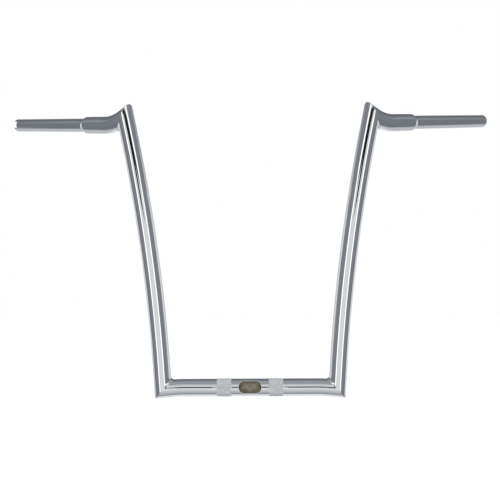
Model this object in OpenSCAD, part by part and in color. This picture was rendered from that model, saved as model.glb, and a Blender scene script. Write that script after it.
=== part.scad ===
/* [Tube] */
// Outside diameter of the fat tube, a nominal 1-1/4 inch
tube_d = 31.75; // [30:0.25:38]
// Outside diameter of the two hand grip ends, a nominal 1 inch
grip_d = 25.4; // [22:0.1:27]
// Wall thickness of both tubes
wall = 3; // [2:0.1:4]

/* [Base] */
// Distance between the two bottom corners, measured on the centrelines
base_w = 316.6; // [280:0.1:380]
// Angle by which each end of the base tube sweeps down to its corner
foot_sweep = 5; // [2:0.5:8]
// Centreline radius of that sweep
foot_bend_r = 200; // [120:5:300]
// Straight stretch between that sweep and the corner
foot_straight = 20; // [18:1:30]

/* [Clamp zone] */
// Distance between the centres of the two knurled bands
band_spacing = 93.7; // [88.9:0.1:110]
// Width of each knurled band
band_w = 26.4; // [20:0.1:36]
// Height of the knurl above the plain tube
band_h = 0.3; // [0.2:0.05:0.6]

/* [Wiring slot] */
// Length of the slot along the base tube
slot_w = 39; // [28:0.5:50]
// Height of the slot
slot_h = 20.6; // [14:0.1:23]
// Radius of the slot's corners
slot_r = 8; // [5:0.5:9]
// Angle by which the slot looks up from straight ahead
slot_tilt = 12; // [0:1:30]

/* [Uprights] */
// Height of the top corners above the base tube's axis
rise = 493; // [400:1:560]
// Outward lean of each upright at its foot
foot_lean = 2.9; // [1:0.1:5]
// Outward lean of each upright at its head
head_lean = 12.2; // [9:0.1:16]
// Straight stretch at each end of an upright
upright_straight = 35; // [30:1:60]
// Radius of the ground weld in the crotch of each corner
fillet_r = 5; // [4:0.5:6]

/* [Arms] */
// Angle by which the arms and the grip ends sweep back
arm_sweep = 36.8; // [20:0.1:50]
// Angle by which an arm drops as it leaves its top corner
arm_drop = 19.5; // [10:0.5:30]
// Angle by which the grip ends rise towards their tips
grip_rise = 6.9; // [0:0.1:12]
// Straight stretch of an arm next to the corner
head_straight = 24; // [22:1:34]
// Centreline radius of the bend in an arm
arm_bend_r = 50; // [35:5:90]
// Straight stretch from that bend to the shoulder
arm_straight = 68; // [50:1:90]
// Length of the plug inside the fat tube's end that carries the grip tube
shoulder_l = 12; // [8:1:30]

/* [Grip ends] */
// Length of each 1 inch grip end beyond the shoulder
grip_l = 222; // [180:1:260]
// Width of the two notches across the throttle end
notch_w = 13; // [8:0.5:16]
// Depth of those notches along the grip end
notch_l = 10; // [5:0.5:16]
// Length of the wire exit hole under each grip end
exit_l = 22; // [12:1:30]
// Width of the wire exit hole
exit_w = 9.5; // [9:0.5:12]
// Radius of its ends
exit_r = 4.5; // [3:0.1:4.5]
// Distance from the shoulder to the middle of the wire exit hole
exit_at = 62; // [30:1:100]
// Angle by which the hole faces back from straight down
exit_turn = 30; // [0:5:60]

/* [Hidden] */

round_fn = 72;
bend_fn = 720;
tube_r = tube_d / 2;
grip_r = grip_d / 2;
mitre_over = tube_d * 1.1;
cut = 6 * tube_d;
// A bend is this much thinner than the straights it joins, and each straight tapers into it over the lap
bend_thin = 0.02;
lap = 2;
lap_taper = 4 * bend_thin;
// A crotch's fillet is this much thinner than the tubes, and ends inside them a little before it would come out
fillet_sink = 0.6;
fillet_toe = 4;

// The foot of the base tube runs straight, bends down, then runs straight again to its corner
foot_x = base_w / 2 - foot_straight * cos(foot_sweep) - foot_bend_r * sin(foot_sweep);
foot_z = -foot_bend_r * (1 - cos(foot_sweep)) - foot_straight * sin(foot_sweep);
low_corner = [base_w / 2, 0, foot_z];

// An upright runs straight, bends outwards on a large radius, then runs straight to the top corner
lean_gain = sin(head_lean) - sin(foot_lean);
straight_z = upright_straight * (cos(foot_lean) + cos(head_lean));
upright_r = (rise - foot_z - straight_z) / lean_gain;
foot_end = low_corner + upright_straight * up(foot_lean);
bow_centre = foot_end + upright_r * [cos(foot_lean), 0, -sin(foot_lean)];
head_start = bow_centre + upright_r * [-cos(head_lean), 0, sin(head_lean)];
top_corner = head_start + upright_straight * up(head_lean);

// An arm lies in an upright plane of its own, turned back by the sweep
bend_start = head_straight * [cos(arm_drop), 0, -sin(arm_drop)];
bend_centre = bend_start + arm_bend_r * [sin(arm_drop), 0, cos(arm_drop)];
bend_end = bend_centre + arm_bend_r * [sin(grip_rise), 0, -cos(grip_rise)];

// Directions of the tubes as they leave each corner
base_dir = [-cos(foot_sweep), 0, sin(foot_sweep)];
head_dir = -up(head_lean);
arm_dir = [cos(arm_drop) * cos(arm_sweep), cos(arm_drop) * sin(arm_sweep), -sin(arm_drop)];

function up(lean) = [sin(lean), 0, cos(lean)];
function unit(v) = v / norm(v);

// Puts children in a frame whose Z axis halves a corner and whose X axis leans towards the tube along a
module in_corner(corner, a, b) {
    z = unit(a + b);
    x = unit(a - b);
    y = cross(z, x);
    multmatrix([[x[0], y[0], z[0], corner[0]], [x[1], y[1], z[1], corner[1]], [x[2], y[2], z[2], corner[2]]])
        children();
}

// A straight stretch of tube along +Z, tapered past its end to sink into the bend that it meets
module straight(from, to, r) {
    rotate_extrude($fn = round_fn)
        polygon([[0, from], [r, from], [r, to], [r - lap_taper, to + lap], [0, to + lap]]);
}

// Two straight tube ends cut to the same mitre, one along a and one along b
module mitre(corner, a, b, length_a, length_b, r) {
    half = acos(a * b) / 2;
    in_corner(corner, a, b) for (side = [0, 1]) mirror([side, 0, 0]) difference() {
        rotate([0, half, 0]) straight(-mitre_over, side == 0 ? length_a : length_b, r);
        translate([-cut, -cut / 2, -cut / 2]) cube([cut, cut, cut]);
    }
}

// A bent tube in the XZ plane, round a centre from one angle to another
module bend(centre, bend_r, from, to, r) {
    translate(centre) rotate([90, 0, 0]) rotate([0, 0, from])
        rotate_extrude(angle = to - from, $fn = bend_fn)
            translate([bend_r, 0]) circle(r = r - bend_thin, $fn = round_fn);
}

// The ground weld in a corner's crotch, a tight bend that comes out of one tube and sinks into the other
module crotch_fillet(corner, a, b) {
    half = acos(a * b) / 2;
    centre_r = tube_r + fillet_r;
    toe = acos(fillet_r / (fillet_r + fillet_sink)) - fillet_toe;
    in_corner(corner, a, b)
        bend([0, 0, centre_r / sin(half)], centre_r, 180 + half + toe, 360 - half - toe, tube_r - fillet_sink);
}

// The straight middle of the base tube and its two swept feet
module base_tube(r) {
    for (side = [0, 1]) mirror([side, 0, 0]) {
        rotate([0, 90, 0]) straight(0, foot_x, r);
        bend([foot_x, 0, -foot_bend_r], foot_bend_r, 90 - foot_sweep, 90, r);
    }
}

// One upright with the mitred corner at each of its ends
module upright(r) {
    mitre(low_corner, base_dir, up(foot_lean), foot_straight, upright_straight, r);
    bend(bow_centre, upright_r, 180 - head_lean, 180 - foot_lean, r);
    mitre(top_corner, head_dir, arm_dir, upright_straight, head_straight, r);
}

// The bend that brings an arm from its corner to the line of the grip
module arm_bend(r) {
    translate(top_corner) rotate([0, 0, arm_sweep])
        bend(bend_centre, arm_bend_r, 270 - arm_drop, 270 + grip_rise, r);
}

// Puts something drawn along +Z at the end of an arm's bend, pointing along the grip
module on_grip_axis() {
    translate(top_corner) rotate([0, 0, arm_sweep]) translate(bend_end)
        rotate([0, 90 - grip_rise, 0]) children();
}

// The rest of the arm, its rounded shoulder and the grip end, as one turned form
module grip_outside() {
    shoulder_r = tube_r - grip_r;
    on_grip_axis() rotate_extrude($fn = round_fn) {
        polygon([[0, -lap], [tube_r - lap_taper, -lap], [tube_r, 0], [tube_r, arm_straight - shoulder_r],
            [grip_r, arm_straight - shoulder_r], [grip_r, arm_straight + grip_l], [0, arm_straight + grip_l]]);
        intersection() {
            translate([grip_r, arm_straight - shoulder_r]) circle(r = shoulder_r, $fn = round_fn);
            translate([grip_r, arm_straight - shoulder_r]) square(shoulder_r);
        }
    }
}

module grip_bore() {
    on_grip_axis() rotate_extrude($fn = round_fn) {
        polygon([[0, -lap], [tube_r - wall - lap_taper, -lap], [tube_r - wall, 0],
            [tube_r - wall, arm_straight - shoulder_l], [0, arm_straight - shoulder_l]]);
        square([grip_r - wall, arm_straight + grip_l + wall]);
    }
}

// A slot with rounded corners, cut along +Z
module slot(w, h, r, depth) {
    linear_extrude(depth) {
        square([w - 2 * r, h], center = true);
        square([w, h - 2 * r], center = true);
        for (x = [-1, 1], y = [-1, 1])
            translate([x * (w / 2 - r), y * (h / 2 - r)]) circle(r = r, $fn = round_fn);
    }
}

module outside() {
    base_tube(tube_r);
    for (side = [-1, 1]) translate([side * band_spacing / 2 - band_w / 2, 0, 0]) rotate([0, 90, 0])
        cylinder(h = band_w, r = tube_r + band_h, $fn = round_fn);
    for (side = [0, 1]) mirror([side, 0, 0]) {
        upright(tube_r);
        arm_bend(tube_r);
        grip_outside();
        crotch_fillet(low_corner, base_dir, up(foot_lean));
        crotch_fillet(top_corner, head_dir, arm_dir);
    }
}

module bore() {
    base_tube(tube_r - wall);
    for (side = [0, 1]) mirror([side, 0, 0]) {
        upright(tube_r - wall);
        arm_bend(tube_r - wall);
        grip_bore();
    }
}

// The oblong opening in the middle of the base, where the wires go in
module wiring_slot() {
    rotate([90 - slot_tilt, 0, 0]) slot(slot_w, slot_h, slot_r, 2 * tube_r);
}

// The oval hole under a grip end, where the wires come out
module wire_exit() {
    on_grip_axis() translate([0, 0, arm_straight + exit_at]) rotate([0, 0, exit_turn]) rotate([0, 90, 0])
        slot(exit_l, exit_w, exit_r, 2 * grip_r);
}

// The notches across the end that carries the throttle
module end_notches() {
    on_grip_axis() translate([-notch_w / 2, -grip_d, arm_straight + grip_l - notch_l])
        cube([notch_w, 2 * grip_d, 2 * notch_l]);
}

module handlebar() {
    color("silver") difference() {
        outside();
        bore();
        wiring_slot();
        for (side = [0, 1]) mirror([side, 0, 0]) wire_exit();
        mirror([1, 0, 0]) end_notches();
    }
}

handlebar();
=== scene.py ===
import bmesh
import bpy
from math import asin, atan2, cos, pi, radians, sin, sqrt, tan
from mathutils import Matrix, Vector


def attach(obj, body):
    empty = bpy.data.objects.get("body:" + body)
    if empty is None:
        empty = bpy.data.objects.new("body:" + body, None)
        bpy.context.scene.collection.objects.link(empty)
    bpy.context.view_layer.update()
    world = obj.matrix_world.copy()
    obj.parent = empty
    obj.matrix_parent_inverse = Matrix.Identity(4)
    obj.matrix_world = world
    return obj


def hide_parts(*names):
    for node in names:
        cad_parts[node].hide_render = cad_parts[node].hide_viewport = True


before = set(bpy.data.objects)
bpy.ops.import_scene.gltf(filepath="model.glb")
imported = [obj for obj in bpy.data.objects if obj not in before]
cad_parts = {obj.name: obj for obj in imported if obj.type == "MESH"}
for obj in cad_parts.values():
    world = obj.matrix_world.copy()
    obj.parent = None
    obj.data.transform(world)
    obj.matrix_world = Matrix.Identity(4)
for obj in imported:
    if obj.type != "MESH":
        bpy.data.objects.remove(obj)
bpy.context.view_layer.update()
print("frame loaded")


# camera

cameraFit = {
    "place": (0.0142, -1.180, 0.24885),
    "yaw": -0.0107,    # radians, to the right
    "roll": -0.007,
    "lens": 46.87,
}


def makeCamera():
    data = bpy.data.cameras.new("camera")
    data.sensor_width = 36
    data.lens = cameraFit["lens"]
    camera = bpy.data.objects.new("camera", data)
    camera.matrix_world = (
        Matrix.Translation(cameraFit["place"])
        @ Matrix.Rotation(-cameraFit["yaw"], 4, "Z")
        @ Matrix.Rotation(pi / 2, 4, "X")
        @ Matrix.Rotation(cameraFit["roll"], 4, "Z")
    )
    bpy.context.collection.objects.link(camera)
    bpy.context.scene.camera = camera


makeCamera()
print("camera set")


# shader maths

class Wire:
    # A socket that takes part in sums: each operator adds its Math node
    def __init__(self, net, socket):
        self.net = net
        self.socket = socket

    def __add__(self, other):
        return self.net.maths("ADD", self, other)

    def __radd__(self, other):
        return self.net.maths("ADD", other, self)

    def __sub__(self, other):
        return self.net.maths("SUBTRACT", self, other)

    def __rsub__(self, other):
        return self.net.maths("SUBTRACT", other, self)

    def __mul__(self, other):
        return self.net.maths("MULTIPLY", self, other)

    def __rmul__(self, other):
        return self.net.maths("MULTIPLY", other, self)

    def __truediv__(self, other):
        return self.net.maths("DIVIDE", self, other)

    def __rtruediv__(self, other):
        return self.net.maths("DIVIDE", other, self)


class Net:
    # One node tree, cleared, with one method that makes its nodes
    def __init__(self, owner):
        owner.use_nodes = True
        self.tree = owner.node_tree
        self.tree.nodes.clear()

    def maths(self, operation, first, second):
        return self.make("ShaderNodeMath", {"operation": operation}, {0: first, 1: second})

    def make(self, kind, settings, values, out=0):
        node = self.tree.nodes.new(kind)
        for name, value in settings.items():
            if name == "stops":
                ramp = node.color_ramp
                for number, (spot, grey) in enumerate(value):
                    stop = ramp.elements[number] if number < 2 else ramp.elements.new(spot)
                    stop.position = spot
                    stop.color = grey if isinstance(grey, tuple) else (grey, grey, grey, 1)
            else:
                setattr(node, name, value)
        for name, value in values.items():
            if isinstance(value, Wire):
                self.tree.links.new(value.socket, node.inputs[name])
            elif value is not None:
                node.inputs[name].default_value = value
        return Wire(self, node.outputs[out]) if len(node.outputs) else node


# the bar, one piece: base tube, mitred uprights, mitred arms and grip ends
# lengths are in metres and angles in degrees

bar = {
    "radius": 0.015875,
    "gripRadius": 0.0127,
    "wall": 0.003,
    "around": 96,            # generator lines round the tube
    "baseWidth": 0.3156,     # between the bottom corners
    "footSweep": 5.0,
    "footRadius": 0.200,
    "footStraight": 0.020,
    "rise": 0.4915,
    "footLean": 3.6,
    "headLean": 11.4,
    "uprightStraight": 0.035,
    "headStraight": 0.003,
    "armSweep": 36.8,
    "armDrop": 21.5,
    "armRadius": 0.10803,
    "armStraight": 0.05889,
    "taper": 0.0095,         # length of the shoulder's smooth step down to the grip end
    "gripRise": 6.9,
    "plug": 0.012,           # depth of the grip tube's plug in the arm
    "gripLength": 0.222,
    "endRound": 0.0004,      # rounding of the tube's outer and inner edge at the tip
}

weld = {
    "tip": 0.0003,          # how far the grinding rounds the mitre at its outer point
    "side": 0.0020,
    "crotch": 0.0062,
    "inner": (0.0004, 0.0006, 0.0010),    # the same three, inside the tubes
    "steps": 12,
    "spread": 0.040,        # rings lean towards the mitre over this length
}

knurl = {
    "centre": 0.04685,
    "width": 0.0264,
    "lip": 0.0002,          # bevel at each edge of a band
    "base": 0.00005,        # how far the grooves and the peaks stand above the plain tube
    "height": 0.0003,
    "rows": 25,
}

wiringSlot = {
    "tilt": 12.0,
    "size": (0.039, 0.0206),
    "corner": 0.0098,
    "rim": 0.0018,
    "patch": (0.026, 67.5),   # half length and half angle of the skin that is made anew round it
}

wireExit = {
    "at": 0.062,
    "turn": 30.0,
    "size": (0.022, 0.0095),
    "corner": 0.0045,
    "rim": 0.0004,
    "patch": (0.015, 45.0),
}

endNotch = {
    "width": 0.013,
    "depth": 0.010,
    "margin": 0.0002,       # a ring stands this far before the bottom of the notches
}


def turnedAbout(point, axis, angle):
    return Matrix.Translation(point) @ Matrix.Rotation(angle, 4, axis) @ Matrix.Translation(-point)


def frameFrom(place, across, along):
    # local X looks across the tube and local Z runs along it
    side = along.cross(across)
    turn = Matrix((across, side, along)).transposed().to_4x4()
    return Matrix.Translation(place) @ turn


class Leg:
    # One length of tube between corners, as straights and bends that follow each other
    def __init__(self, start):
        self.end = start
        self.parts = []
        self.length = 0

    def straight(self, length):
        self.parts.append((self.length, length, self.end, None, None, 0))
        self.end = self.end @ Matrix.Translation((0, 0, length))
        self.length += length

    def bend(self, radius, degrees, towards):
        angle = radians(degrees)
        centre = self.end.translation + radius * towards
        axis = self.end.to_3x3().col[2].cross(towards)
        self.parts.append((self.length, radius * angle, self.end, centre, axis, angle))
        self.end = turnedAbout(centre, axis, angle) @ self.end
        self.length += radius * angle

    def frameAt(self, along):
        for begin, length, start, centre, axis, angle in reversed(self.parts):
            if along >= begin:
                break
        if centre is None:
            return start @ Matrix.Translation((0, 0, along - begin))
        return turnedAbout(centre, axis, angle * (along - begin) / length) @ start

    def point(self, along, radius, theta):
        return self.frameAt(along) @ Vector((radius * cos(theta), radius * sin(theta), 0))


def lean(angle):
    return Vector((sin(radians(angle)), 0, cos(radians(angle))))


def nextLeg(leg, direction):
    heading = leg.end.to_3x3().col[2]
    axis = heading.cross(direction).normalized()
    return Leg(turnedAbout(leg.end.translation, axis, heading.angle(direction)) @ leg.end)


def makeLegs():
    tilt, drop, sweep = radians(wiringSlot["tilt"]), radians(bar["armDrop"]), radians(bar["armSweep"])
    foot, footLean, headLean = radians(bar["footSweep"]), bar["footLean"], bar["headLean"]
    halfBase = bar["baseWidth"] / 2 - bar["footStraight"] * cos(foot) - bar["footRadius"] * sin(foot)
    base = Leg(frameFrom(Vector((0, 0, 0)), Vector((0, -cos(tilt), sin(tilt))), Vector((1, 0, 0))))
    base.straight(halfBase)
    base.bend(bar["footRadius"], bar["footSweep"], Vector((0, 0, -1)))
    base.straight(bar["footStraight"])
    upright = nextLeg(base, lean(footLean))
    height = bar["rise"] - upright.end.translation.z
    bowHeight = height - bar["uprightStraight"] * (lean(footLean).z + lean(headLean).z)
    upright.straight(bar["uprightStraight"])
    bowRadius = bowHeight / (lean(headLean).x - lean(footLean).x)
    upright.bend(bowRadius, headLean - footLean, lean(footLean + 90))
    upright.straight(bar["uprightStraight"])
    arm = nextLeg(upright, Vector((cos(drop) * cos(sweep), cos(drop) * sin(sweep), -sin(drop))))
    arm.straight(bar["headStraight"])
    towards = Vector((sin(drop) * cos(sweep), sin(drop) * sin(sweep), cos(drop)))
    arm.bend(bar["armRadius"], bar["armDrop"] + bar["gripRise"], towards)
    arm.straight(bar["armStraight"] + bar["gripLength"])
    return base, upright, arm


def steps(first, last, count):
    return [first + (last - first) * number / count for number in range(1, count + 1)]


class Corner:
    # Where two legs meet: each generator line runs to the mitre, rounded by the ground weld
    def __init__(self, legA, legB, radius, ground):
        self.legA, self.legB, self.radius, self.ground = legA, legB, radius, ground
        self.u = legA.end.to_3x3().col[2]
        self.v = legB.parts[0][2].to_3x3().col[2]
        self.normal = (self.u + self.v).normalized()
        turn = self.u.angle(self.v)
        self.handle = 4 / 3 * tan(turn / 4) / tan(turn / 2)

    def spans(self, theta):
        # where the rounding starts on one leg and stops on the other
        out = self.legA.end.to_3x3() @ Vector((cos(theta), sin(theta), 0))
        hit = -self.radius * out.dot(self.normal) / self.u.dot(self.normal)
        share = (1 - hit / self.radius / tan(self.u.angle(self.v) / 2)) / 2
        tip, side, crotch = self.ground
        reach = tip * (1 - share) ** 2 + 2 * side * share * (1 - share) + crotch * share ** 2
        return self.legA.length + hit - reach, reach - hit, reach

    def arrive(self, theta, begin, share):
        stop = self.spans(theta)[0]
        return self.legA.point(begin + (stop - begin) * share, self.radius, theta)

    def round(self, theta, share):
        stop, go, reach = self.spans(theta)
        one = self.legA.frameAt(stop)
        two = self.legB.frameAt(go)
        ring = Vector((self.radius * cos(theta), self.radius * sin(theta), 0))
        first, last = one @ ring, two @ ring
        near = first + one.to_3x3().col[2] * reach * self.handle
        far = last - two.to_3x3().col[2] * reach * self.handle
        left = 1 - share
        early = first * left ** 3 + near * 3 * left ** 2 * share
        return early + far * 3 * left * share ** 2 + last * share ** 3

    def leave(self, theta, end, share):
        go = self.spans(theta)[1]
        return self.legB.point(go + (end - go) * share, self.radius, theta)


chromeZone, knurlZone, boreZone = 0, 1, 2


def flatRings(leg, places, radius, zone=chromeZone):
    return [(lambda theta, s=s: leg.point(s, radius, theta), zone) for s in places]


def cornerRings(corner, begin, end, zone, count, rounds):
    rings = [(lambda theta, q=q: corner.arrive(theta, begin, q), zone) for q in steps(0, 1, count)]
    rings += [(lambda theta, q=q: corner.round(theta, q), zone) for q in steps(0, 1, rounds)]
    rings += [(lambda theta, q=q: corner.leave(theta, end, q), zone) for q in steps(0, 1, count)]
    return rings


def skinRings(base, upright, arm, inside):
    # rings of the outer or the inner skin, from the middle of the base to the shoulder
    radius = bar["radius"] - (bar["wall"] if inside else 0)
    zone = boreZone if inside else chromeZone
    ground = weld["inner"] if inside else (weld["tip"], weld["side"], weld["crotch"])
    spread = weld["spread"]
    low = Corner(base, upright, radius, ground)
    top = Corner(upright, arm, radius, ground)
    patch = wiringSlot["patch"][0]
    bandStart = knurl["centre"] - knurl["width"] / 2
    bandEnd = bandStart + knurl["width"]
    rings = flatRings(base, steps(0, patch, 13), radius, zone)
    if inside:
        rings += flatRings(base, steps(patch, base.length - spread, 6), radius, zone)
    else:
        lip = knurl["lip"]
        rings += flatRings(base, steps(patch, bandStart, 3), radius)
        rings += flatRings(base, [bandStart + lip], radius + knurl["base"])
        rows = steps(bandStart + lip, bandEnd - lip, knurl["rows"])
        rings += flatRings(base, rows, radius + knurl["base"], knurlZone)
        rings += flatRings(base, [bandEnd], radius)
        rings += flatRings(base, steps(bandEnd, base.length - spread, 5), radius)
    count, rounds = (4, 3) if inside else (8, weld["steps"])
    rings += cornerRings(low, base.length - spread, spread, zone, count, rounds)
    rings += flatRings(upright, steps(spread, upright.length - spread, 12 if inside else 24), radius, zone)
    rings += cornerRings(top, upright.length - spread, spread, zone, count, rounds)
    bendEnd = arm.length - bar["gripLength"] - bar["armStraight"]
    rings += flatRings(arm, steps(spread, bendEnd, 3), radius, zone)
    shoulder = bendEnd + bar["armStraight"]
    if inside:
        rings += flatRings(arm, steps(bendEnd, shoulder - bar["plug"], 2), radius, zone)
        return rings
    drop = bar["radius"] - bar["gripRadius"]
    rings += flatRings(arm, steps(bendEnd, shoulder - bar["taper"], 4), radius)
    for share in steps(0, 1, 10):
        place = shoulder - bar["taper"] * (1 - share)
        rings += flatRings(arm, [place], bar["gripRadius"] + drop * (1 + cos(pi * share)) / 2)
    return rings


def gripRings(arm, inside):
    shoulder = arm.length - bar["gripLength"]
    radius = bar["gripRadius"] - (bar["wall"] if inside else 0)
    zone = boreZone if inside else chromeZone
    middle, patch = shoulder + wireExit["at"], wireExit["patch"][0]
    places = steps(shoulder, middle - patch, 5)
    places += steps(middle - patch, middle + patch, 15)
    notchStart = arm.length - endNotch["depth"] - endNotch["margin"]
    places += steps(middle + patch, notchStart - 2 * endNotch["margin"], 10) + [notchStart]
    places += steps(notchStart, arm.length - bar["endRound"], 5)
    if inside:
        places = [shoulder - bar["plug"]] + places
    return flatRings(arm, places, radius, zone)


def endRings(arm):
    outer, inner = bar["gripRadius"], bar["gripRadius"] - bar["wall"]
    rings = flatRings(arm, [arm.length], outer - bar["endRound"])
    rings += flatRings(arm, [arm.length], inner + bar["endRound"])
    return rings


def pullRing(mesh, edges, place, zone):
    # extrudes a ring or a chain of edges and puts each new point where place says
    made = bmesh.ops.extrude_edge_only(mesh, edges=edges)["geom"]
    points = [item for item in made if isinstance(item, bmesh.types.BMVert)]
    fresh = set(points)
    for item in made:
        if isinstance(item, bmesh.types.BMFace):
            item.material_index = zone
    for point in points:
        point.co = place(point)
    ring = {}    # in the order of the points, so that each run makes the same mesh
    for point in points:
        ring.update((edge, point) for edge in point.link_edges if edge.other_vert(point) in fresh)
    return list(ring)


def roundedSpot(spot, size, corner, more):
    # the point of the opening's outline that belongs to a point of the patch's edge
    halfX, halfY, radius = size[0] / 2 + more, size[1] / 2 + more, corner + more
    x, y = spot[0] * halfX, spot[1] * halfY
    overX, overY = abs(x) - (halfX - radius), abs(y) - (halfY - radius)
    if overX > 0 and overY > 0:
        scale = radius / sqrt(overX ** 2 + overY ** 2)
        x = (halfX - radius + overX * scale) * (1 if x > 0 else -1)
        y = (halfY - radius + overY * scale) * (1 if y > 0 else -1)
    return x, y


def openSkin(mesh, place, radius, hole, inside, spotLayer):
    # takes away the skin round an opening and draws it in again to the opening's outline
    back = place.inverted()
    halfLength, halfAngle = hole["patch"][0], radians(hole["patch"][1])
    faces = {}
    for face in mesh.faces:
        spot = back @ face.calc_center_median()
        near = abs(spot.x) < halfLength and abs(atan2(spot.y, spot.z)) < halfAngle
        if near and abs(sqrt(spot.y ** 2 + spot.z ** 2) - radius) < bar["wall"] / 3:
            faces[face] = near
    chain = []
    for face in faces:
        for edge in face.edges:
            if len(edge.link_faces) == 2 and any(other not in faces for other in edge.link_faces):
                chain.append(edge)
    spots = {}
    for edge in chain:
        for point in edge.verts:
            at = back @ point.co
            spots[point] = (at.x, atan2(at.y, at.z))
    farX = max(abs(x) for x, angle in spots.values())
    farUp = max(angle for x, angle in spots.values())
    farDown = -min(angle for x, angle in spots.values())
    for point, (x, angle) in spots.items():
        point[spotLayer] = (x / farX, angle / (farUp if angle > 0 else farDown), 0)
    bmesh.ops.delete(mesh, geom=list(faces), context="FACES")

    def drawn(share, more):
        def put(point):
            spot = point[spotLayer]
            x, y = roundedSpot(spot, hole["size"], hole["corner"], more)
            edgeX, edgeAngle = spot[0] * farX, spot[1] * (farUp if spot[1] > 0 else farDown)
            atX = edgeX + (x - edgeX) * share
            angle = edgeAngle + (asin(y / radius) - edgeAngle) * share
            return place @ Vector((atX, radius * sin(angle), radius * cos(angle)))
        return put

    def rimmed(angle):
        def put(point):
            more = hole["rim"] * (1 - sin(angle))
            x, y = roundedSpot(point[spotLayer], hole["size"], hole["corner"], more)
            return place @ Vector((x, y, sqrt(radius ** 2 - y ** 2) - hole["rim"] * (1 - cos(angle))))
        return put

    zone = boreZone if inside else chromeZone
    rim = 0 if inside else hole["rim"]
    for share in steps(0, 1, 6):
        chain = pullRing(mesh, chain, drawn(share, rim), zone)
    if not inside:
        for angle in steps(0, pi / 2, 4):
            chain = pullRing(mesh, chain, rimmed(angle), zone)
    return chain


def cutOpening(mesh, place, radius, hole, spotLayer):
    outer = openSkin(mesh, place, radius, hole, False, spotLayer)
    inner = openSkin(mesh, place, radius - bar["wall"], hole, True, spotLayer)
    wall = bmesh.ops.bridge_loops(mesh, edges=outer + inner)["faces"]
    for face in wall:
        face.material_index = chromeZone


def cutDiamonds(mesh):
    # the knurl: each square becomes four slopes, old edges go, and every diamond gets its peak
    squares = [face for face in mesh.faces if face.material_index == knurlZone]
    old = dict.fromkeys(edge for face in squares for edge in face.edges)
    inner = [edge for edge in old if all(face.material_index == knurlZone for face in edge.link_faces)]
    inner = [edge for edge in inner if len(edge.link_faces) == 2]
    bmesh.ops.poke(mesh, faces=squares)
    bmesh.ops.dissolve_edges(mesh, edges=inner, use_verts=False, use_face_split=False)
    diamonds = [face for face in mesh.faces if face.material_index == knurlZone]
    made = bmesh.ops.poke(mesh, faces=diamonds)
    axis = Vector((1, 0, 0))
    for peak in made["verts"]:
        if len(peak.link_faces) == 4:
            out = (peak.co - axis * peak.co.x).normalized()
            peak.co = axis * peak.co.x + out * (bar["radius"] + knurl["height"])


def makeBar(base, upright, arm):
    mesh = bmesh.new()
    turnLayer = mesh.verts.layers.float.new("turn")
    spotLayer = mesh.verts.layers.float_vector.new("spot")
    bmesh.ops.create_circle(mesh, segments=bar["around"], radius=bar["radius"], matrix=base.frameAt(0))
    back = base.frameAt(0).inverted()
    for point in mesh.verts:
        at = back @ point.co
        point[turnLayer] = atan2(at.y, at.x)
    ring = list(mesh.edges)
    rings = skinRings(base, upright, arm, False) + gripRings(arm, False) + endRings(arm)
    inner = [(lambda theta: base.point(0, bar["radius"] - bar["wall"], theta), boreZone)]
    inner += skinRings(base, upright, arm, True) + gripRings(arm, True)
    for place, zone in rings + inner[::-1]:
        ring = pullRing(mesh, ring, lambda point: place(point[turnLayer]), zone)
    print("skins swept")
    slotFrame = frameFrom(Vector((0, 0, 0)), Vector((1, 0, 0)), base.frameAt(0).to_3x3().col[0])
    cutOpening(mesh, slotFrame, bar["radius"], wiringSlot, spotLayer)
    shoulder = arm.length - bar["gripLength"]
    grip = arm.frameAt(shoulder + wireExit["at"])
    along = grip.to_3x3().col[2]
    level = Vector((0, 0, 1)).cross(along).normalized()
    down = along.cross(level).normalized() * -1
    turn = radians(wireExit["turn"])
    exitFrame = frameFrom(grip.translation, along, down * cos(turn) + level * sin(turn))
    cutOpening(mesh, exitFrame, bar["gripRadius"], wireExit, spotLayer)
    print("openings cut")
    cutDiamonds(mesh)
    print("knurl cut")
    whole = mesh.verts[:] + mesh.edges[:] + mesh.faces[:]
    bmesh.ops.mirror(mesh, geom=whole, axis="X", merge_dist=0.00001)
    bmesh.ops.remove_doubles(mesh, verts=mesh.verts, dist=0.000005)
    bmesh.ops.recalc_face_normals(mesh, faces=mesh.faces)
    return mesh


def cutNotches(piece, arm):
    # the box that takes two notches out of the throttle end
    mesh = bmesh.new()
    end = arm.frameAt(arm.length)
    along = end.to_3x3().col[2]
    level = Vector((0, 0, 1)).cross(along).normalized()
    place = frameFrom(end.translation, level, along)
    size = Matrix.Diagonal((4 * bar["gripRadius"], endNotch["width"], 2 * endNotch["depth"], 1))
    bmesh.ops.create_cube(mesh, size=1, matrix=place @ size)
    bmesh.ops.scale(mesh, vec=(-1, 1, 1), verts=mesh.verts)
    bmesh.ops.recalc_face_normals(mesh, faces=mesh.faces)
    data = bpy.data.meshes.new("notchTool")
    mesh.to_mesh(data)
    mesh.free()
    tool = bpy.data.objects.new("notchTool", data)
    bpy.context.collection.objects.link(tool)
    cutter = piece.modifiers.new("notches", "BOOLEAN")
    cutter.operation = "DIFFERENCE"
    cutter.object = tool
    cutter.solver = "EXACT"
    bpy.context.view_layer.update()
    shaped = bpy.data.meshes.new_from_object(piece.evaluated_get(bpy.context.evaluated_depsgraph_get()))
    piece.modifiers.clear()
    piece.data = shaped
    bpy.data.objects.remove(tool)


def objectSpot(net):
    return net.make("ShaderNodeTexCoord", {}, {}, out="Object")


def axisOf(net, vector, axis):
    return net.make("ShaderNodeSeparateXYZ", {}, {0: vector}, out=axis)


def noise(net, vector, scale, detail):
    values = {"Vector": vector, "Scale": scale, "Detail": detail}
    return net.make("ShaderNodeTexNoise", {}, values, out="Fac")


def ranged(net, value, low, high):
    # 0 at low and 1 at high
    return net.make("ShaderNodeMapRange", {}, {0: value, 1: low, 2: high})


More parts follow.
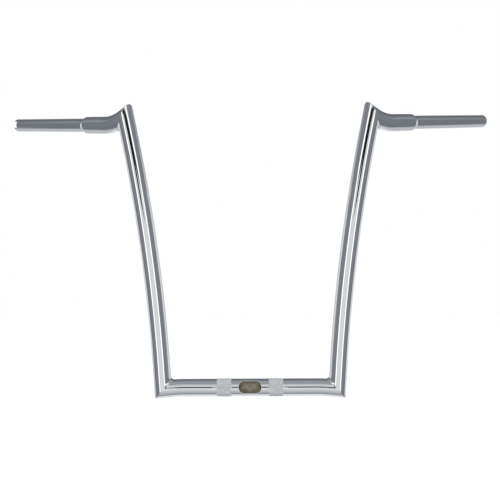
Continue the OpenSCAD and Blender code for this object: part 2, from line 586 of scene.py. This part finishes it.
def eased(net, value, span, full=1, start=0.0, end=1.0):
    # goes softly from start to end over a span that is given in parts of full
    ends = {0: value, 1: span[0] / full, 2: span[1] / full, 3: start, 4: end}
    return net.make("ShaderNodeMapRange", {"interpolation_type": "SMOOTHSTEP"}, ends)


def blended(net, factor, first, second):
    values = {"Factor": factor, 6: first, 7: second}
    return net.make("ShaderNodeMix", {"data_type": "RGBA"}, values, out=2)


plating = {
    "light": (0.785, 0.792, 0.802, 1),
    "dull": (0.735, 0.745, 0.765, 1),
    "polish": 0.025,                # roughness where it is cleanest
    "hazeScale": 26,
    "rippleScale": 34,
    "grainScale": 160,
    "grainStretch": (1, 1, 9),
    "speckScale": 900,
    "pitted": (0.66, 0.74),         # the part of the specks that shows as pits
    "relief": 0.0006,
    "lowWeld": (0.1583, 0, -0.0025),
    "topWeld": (0.2236, 0, 0.4915),
    "weldReach": (0.014, 0.050),    # the grinding marks fade between these distances
}


def weldMask(net, across, along, up):
    # 1 on the ground corners, fading out along the tubes
    folded = net.make("ShaderNodeCombineXYZ", {}, {
        0: net.maths("ABSOLUTE", across, 0), 1: along, 2: up})
    near = None
    for corner in (plating["lowWeld"], plating["topWeld"]):
        ends = {0: folded, 1: corner}
        gap = net.make("ShaderNodeVectorMath", {"operation": "DISTANCE"}, ends, out="Value")
        part = eased(net, gap, plating["weldReach"], start=1.0, end=0.0)
        near = part if near is None else near + part
    return near


def chromeMaterial():
    material = bpy.data.materials.new("polishedChrome")
    net = Net(material)
    spot = objectSpot(net)
    weldNear = weldMask(net, axisOf(net, spot, "X"), axisOf(net, spot, "Y"), axisOf(net, spot, "Z"))
    haze = noise(net, spot, plating["hazeScale"], 4)
    ripple = noise(net, spot, plating["rippleScale"], 1)
    stretched = net.make("ShaderNodeMapping", {}, {"Vector": spot, "Scale": plating["grainStretch"]})
    grain = noise(net, stretched, plating["grainScale"], 3)
    specks = noise(net, spot, plating["speckScale"], 2)
    pits = ranged(net, specks, *plating["pitted"])
    colour = blended(net, haze * 0.6 + pits * 0.4, plating["light"], plating["dull"])
    height = ripple * (0.25 + weldNear * 0.75) + grain * weldNear * 0.05
    bump = net.make("ShaderNodeBump", {}, {
        "Strength": 0.5, "Distance": plating["relief"], "Height": height})
    shader = net.make("ShaderNodeBsdfPrincipled", {}, {
        "Base Color": colour,
        "Metallic": 1,
        "Roughness": plating["polish"] + haze * 0.03 + pits * 0.08 + weldNear * 0.03,
        "Normal": bump,
    })
    net.make("ShaderNodeOutputMaterial", {}, {"Surface": shader})
    return material


knurlFinish = {
    "peak": (0.99, 0.99, 0.995, 1),
    # the grooves' colour is darker as painted shade in the knurl's recesses
    "groove": (0.62, 0.625, 0.64, 1),
    "metal": 0.62,
    "polish": 0.16,
    "patchScale": 330,
    "patchy": (0.38, 0.62),
}


def knurlMaterial():
    # bright peaks over grooves darkened with painted shade, told apart by the distance from the tube's
    # axis
    material = bpy.data.materials.new("knurledChrome")
    net = Net(material)
    spot = objectSpot(net)
    flat = net.make("ShaderNodeVectorMath", {"operation": "MULTIPLY"}, {0: spot, 1: (0, 1, 1)})
    out = net.make("ShaderNodeVectorMath", {"operation": "LENGTH"}, {0: flat}, out="Value")
    bottom, peakStart = bar["radius"] + knurl["base"], bar["radius"] + knurl["height"] * 0.7
    # painted shade: the deeper into a groove, the darker the colour
    groove = net.make("ShaderNodeMapRange", {}, {0: out, 1: bottom, 2: peakStart, 3: 1.0, 4: 0.0})
    patchy = ranged(net, noise(net, spot, knurlFinish["patchScale"], 2), *knurlFinish["patchy"])
    colour = blended(net, groove * 0.35 + patchy * 0.6, knurlFinish["peak"], knurlFinish["groove"])
    shader = net.make("ShaderNodeBsdfPrincipled", {}, {
        "Base Color": colour,
        "Metallic": knurlFinish["metal"],
        "Roughness": knurlFinish["polish"] + groove * 0.14 + patchy * 0.12,
    })
    net.make("ShaderNodeOutputMaterial", {}, {"Surface": shader})
    return material


boreFinish = {
    "steel": (0.70, 0.64, 0.47, 1),
    "brightSteel": (0.88, 0.82, 0.64, 1),
    "oil": (0.42, 0.36, 0.22, 1),
    # the dark colour of the painted shade inside the bore
    "paintedShade": (0.06, 0.05, 0.03, 1),
    "metal": 0.2,
    "polish": 0.42,
    "relief": 0.0004,
    "streakScale": 420,
    "streakStretch": (0.25, 1, 1),
    "blotchScale": 130,
    "paintedShadeDrop": 0.0025,            # the patch behind the slot that is left without painted shade lies this far below the axis
    "paintedShadeEnds": (0.0155, 0.0198),  # distances from its middle at which the painted shade starts and is full
    "paintedShadeRims": (0.0066, 0.0100),
}


def boreMaterial():
    # bare drawn steel with an oily khaki film, streaked along and blotched, and darkened with painted
    # shade away from the patch behind the slot
    material = bpy.data.materials.new("bareSteelBore")
    net = Net(material)
    spot = objectSpot(net)
    drawn = net.make("ShaderNodeMapping", {}, {"Vector": spot, "Scale": boreFinish["streakStretch"]})
    streaks = noise(net, drawn, boreFinish["streakScale"], 3)
    blotches = noise(net, spot, boreFinish["blotchScale"], 4)
    film = ranged(net, blotches, 0.35, 0.65)
    steel = blended(net, ranged(net, streaks, 0.3, 0.7), boreFinish["steel"], boreFinish["brightSteel"])
    oiled = blended(net, film * 0.6, steel, boreFinish["oil"])
    # painted shade darkens the whole bore, but for a patch that shows through the wiring slot
    centred = net.make("ShaderNodeVectorMath", {}, {0: spot, 1: (0, 0, boreFinish["paintedShadeDrop"])})
    folded = net.make("ShaderNodeVectorMath", {"operation": "ABSOLUTE"}, {0: centred})
    ends = ranged(net, axisOf(net, folded, "X"), *boreFinish["paintedShadeEnds"])
    rims = ranged(net, axisOf(net, folded, "Z"), *boreFinish["paintedShadeRims"])
    # painted shade: the bore's shadowed inside, full away from the slot
    paintedShade = net.maths("MINIMUM", ends * ends + rims * rims, 1)
    colour = blended(net, paintedShade * 0.75, oiled, boreFinish["paintedShade"])
    bump = net.make("ShaderNodeBump", {}, {
        "Strength": 0.6, "Distance": boreFinish["relief"], "Height": streaks + blotches})
    shader = net.make("ShaderNodeBsdfPrincipled", {}, {
        "Base Color": colour,
        "Metallic": boreFinish["metal"],
        "Roughness": boreFinish["polish"] + film * 0.2,
        "Normal": bump,
    })
    net.make("ShaderNodeOutputMaterial", {}, {"Surface": shader})
    return material


base, upright, arm = makeLegs()
barMesh = makeBar(base, upright, arm)
barData = bpy.data.meshes.new("chromeBar")
barMesh.to_mesh(barData)
barMesh.free()
barPiece = bpy.data.objects.new("chromeBar", barData)
bpy.context.collection.objects.link(barPiece)
cutNotches(barPiece, arm)
for material in (chromeMaterial(), knurlMaterial(), boreMaterial()):    # in the order of the zones
    barPiece.data.materials.append(material)
barPiece.data.shade_smooth()
barPiece.data.set_sharp_from_angle(angle=radians(35))
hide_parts("handlebar")
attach(barPiece, "root")
print("bar made:", len(barPiece.data.polygons), "faces")


# studio: a plain pale floor and one soft sun, with the light room that the plating mirrors in the world

room = {
    "floorDepth": 0.45,
    "floorCentre": (0, 0.9),
    "floorSize": (9.0, 9.0),
    "sunPower": 2.6,
    "sunSpread": 75,         # degrees
    "mirrored": 1.1,         # strength of what the plating mirrors
}


def flatSheet(name, place, size, material):
    # a plain rectangle that is part of the studio
    mesh = bmesh.new()
    bmesh.ops.create_grid(mesh, x_segments=1, y_segments=1, size=0.5)
    bmesh.ops.scale(mesh, vec=(size[0], size[1], 1), verts=mesh.verts)
    bmesh.ops.translate(mesh, vec=place, verts=mesh.verts)
    data = bpy.data.meshes.new(name)
    mesh.to_mesh(data)
    mesh.free()
    sheet = bpy.data.objects.new(name, data)
    data.materials.append(material)
    bpy.context.collection.objects.link(sheet)
    return sheet


def floorMaterial():
    material = bpy.data.materials.new("paleFloor")
    net = Net(material)
    shader = net.make("ShaderNodeBsdfPrincipled", {}, {"Base Color": (0.9, 0.9, 0.9, 1), "Roughness": 0.9})
    net.make("ShaderNodeOutputMaterial", {}, {"Surface": shader})
    return material


def makeStudio():
    depth = -room["floorDepth"]
    floor = flatSheet("floor", (*room["floorCentre"], depth), room["floorSize"], floorMaterial())
    floor.visible_glossy = False
    light = bpy.data.lights.new("sun", "SUN")
    light.energy = room["sunPower"]
    light.angle = radians(room["sunSpread"])
    sun = bpy.data.objects.new("sun", light)
    sun.visible_glossy = False
    bpy.context.collection.objects.link(sun)


# what the plating mirrors: headings run from 0 in front to 180 behind, heights from 0 to 90 degrees
mirrorRoom = {
    "sides": (
        (0, 0.78), (20, 0.74), (28, 0.86), (31, 1.6), (36, 1.6), (40, 0.27), (52, 0.24), (75, 0.23),
        (95, 0.20), (103, 0.20), (108, 0.80), (124, 0.80), (136, 0.60), (156, 0.60), (170, 0.80),
        (180, 0.84)),
    "roof": (
        (0, 0.80), (24, 0.76), (42, 0.62), (60, 0.33), (80, 0.37), (100, 0.32), (118, 0.17), (180, 0.16)),
    "ground": (
        (0, 1.0), (16, 0.72), (30, 0.61), (45, 0.55), (60, 0.45), (78, 0.30), (86, 0.34), (92, 0.82),
        (180, 0.87)),
    "groundAside": (
        (0, 0.50), (40, 0.27), (52, 0.23), (80, 0.20), (110, 0.20), (116, 0.50), (130, 0.58), (155, 0.50),
        (180, 0.70)),
    "asideFrom": (0.22, 0.45),     # share of the width at which the ground turns into its side part
    "roofFrom": (0.08, 0.34),      # shares of the height at which the sides turn into the roof
    "groundFrom": (-0.13, -0.26),
    "roofLower": 0.15,             # how much lower the roof starts at the sides, between these headings
    "lowerFrom": (42, 52),
    "lowerTo": (88, 100),
    "paneTone": (1.3, 1.3, 1.3, 1),
    "paneFrom": (25.5, 28),        # the bright pane on each side, by heading and by height
    "paneTo": (42, 45),
    "paneFoot": (13.5, 15.5),
    "paneHead": (22.0, 26.0),
    "shelfEnd": (25, 27),          # the dark shelf across the front, by heading and by height
    "shelfFoot": 10.4,
    "shelfEdge": 1.2,
    "shelfHead": (17.5, 19.5),
    "shelfMiddle": (7.2, 9.0),     # its middle reaches lower, by shelfDip
    "shelfDip": 6.2,
    "shelfDark": 0.98,
}


def toneRamp(net, spots, value):
    # a ramp over 0 to 180 degrees whose darker tones are cooler
    stops = []
    for angle, tone in spots:
        cool = min(1, max(0, (0.7 - tone) / 0.4))
        stops.append((angle / 180, (tone * (1 - 0.07 * cool), tone, tone * (1 + 0.10 * cool), 1)))
    return net.make("ShaderNodeValToRGB", {"stops": stops}, {0: value})


def roomTone(net, around, upward, wide, height):
    # sides, roof and ground of the mirrored room, run into each other
    sides = toneRamp(net, mirrorRoom["sides"], around)
    roof = toneRamp(net, mirrorRoom["roof"], upward)
    ground = toneRamp(net, mirrorRoom["ground"], upward)
    aside = toneRamp(net, mirrorRoom["groundAside"], around)
    lower = blended(net, eased(net, wide, mirrorRoom["asideFrom"]), ground, aside)
    beside = eased(net, around, mirrorRoom["lowerFrom"], 180)
    behind = eased(net, around, mirrorRoom["lowerTo"], 180)
    lift = eased(net, height - (beside - behind) * mirrorRoom["roofLower"], mirrorRoom["roofFrom"])
    upper = blended(net, lift, sides, roof)
    return blended(net, eased(net, height, mirrorRoom["groundFrom"]), upper, lower)


def paneMask(net, around, height):
    left = eased(net, around, mirrorRoom["paneFrom"], 180)
    right = eased(net, around, mirrorRoom["paneTo"], 180)
    foot = eased(net, height, mirrorRoom["paneFoot"], 90)
    head = eased(net, height, mirrorRoom["paneHead"], 90)
    return (left - right) * (foot - head)


def shelfMask(net, around, height):
    middle = eased(net, around, mirrorRoom["shelfMiddle"], 180, 1.0, 0.0)
    foot = (mirrorRoom["shelfFoot"] - middle * mirrorRoom["shelfDip"]) / 90
    top = foot + mirrorRoom["shelfEdge"] / 90
    rise = net.make("ShaderNodeMapRange", {"interpolation_type": "SMOOTHSTEP"}, {
        0: height, 1: foot, 2: top})
    over = eased(net, height, mirrorRoom["shelfHead"], 90)
    return (rise - over) * eased(net, around, mirrorRoom["shelfEnd"], 180, 1.0, 0.0)


def makeWorld():
    # around is the heading as a share of half a turn; height is 1 straight up
    world = bpy.data.worlds.new("studio")
    bpy.context.scene.world = world
    net = Net(world)
    heading = net.make("ShaderNodeTexCoord", {}, {}, out="Generated")
    x, y, z = axisOf(net, heading, "X"), axisOf(net, heading, "Y"), axisOf(net, heading, "Z")
    wide = net.maths("ABSOLUTE", x, 0)
    around = net.maths("ARCTAN2", wide, y * -1) / pi
    upward = net.maths("ARCTAN2", net.maths("ABSOLUTE", z, 0), y * -1) / pi
    height = net.maths("ARCSINE", z, 0) / (pi / 2)
    whole = roomTone(net, around, upward, wide, height)
    mirrored = blended(net, paneMask(net, around, height), whole, mirrorRoom["paneTone"])
    lit = 1 - shelfMask(net, around, height) * mirrorRoom["shelfDark"]
    glow = net.make("ShaderNodeBackground", {}, {"Color": mirrored, "Strength": lit * room["mirrored"]})
    white = net.make("ShaderNodeBackground", {}, {"Color": (1, 1, 1, 1), "Strength": 1})
    camera = net.make("ShaderNodeLightPath", {}, {}, out="Is Camera Ray")
    both = net.make("ShaderNodeMixShader", {}, {0: camera, 1: glow, 2: white})
    net.make("ShaderNodeOutputWorld", {}, {"Surface": both})


makeStudio()
makeWorld()
bpy.context.scene.view_settings.view_transform = "Standard"
print("studio set")
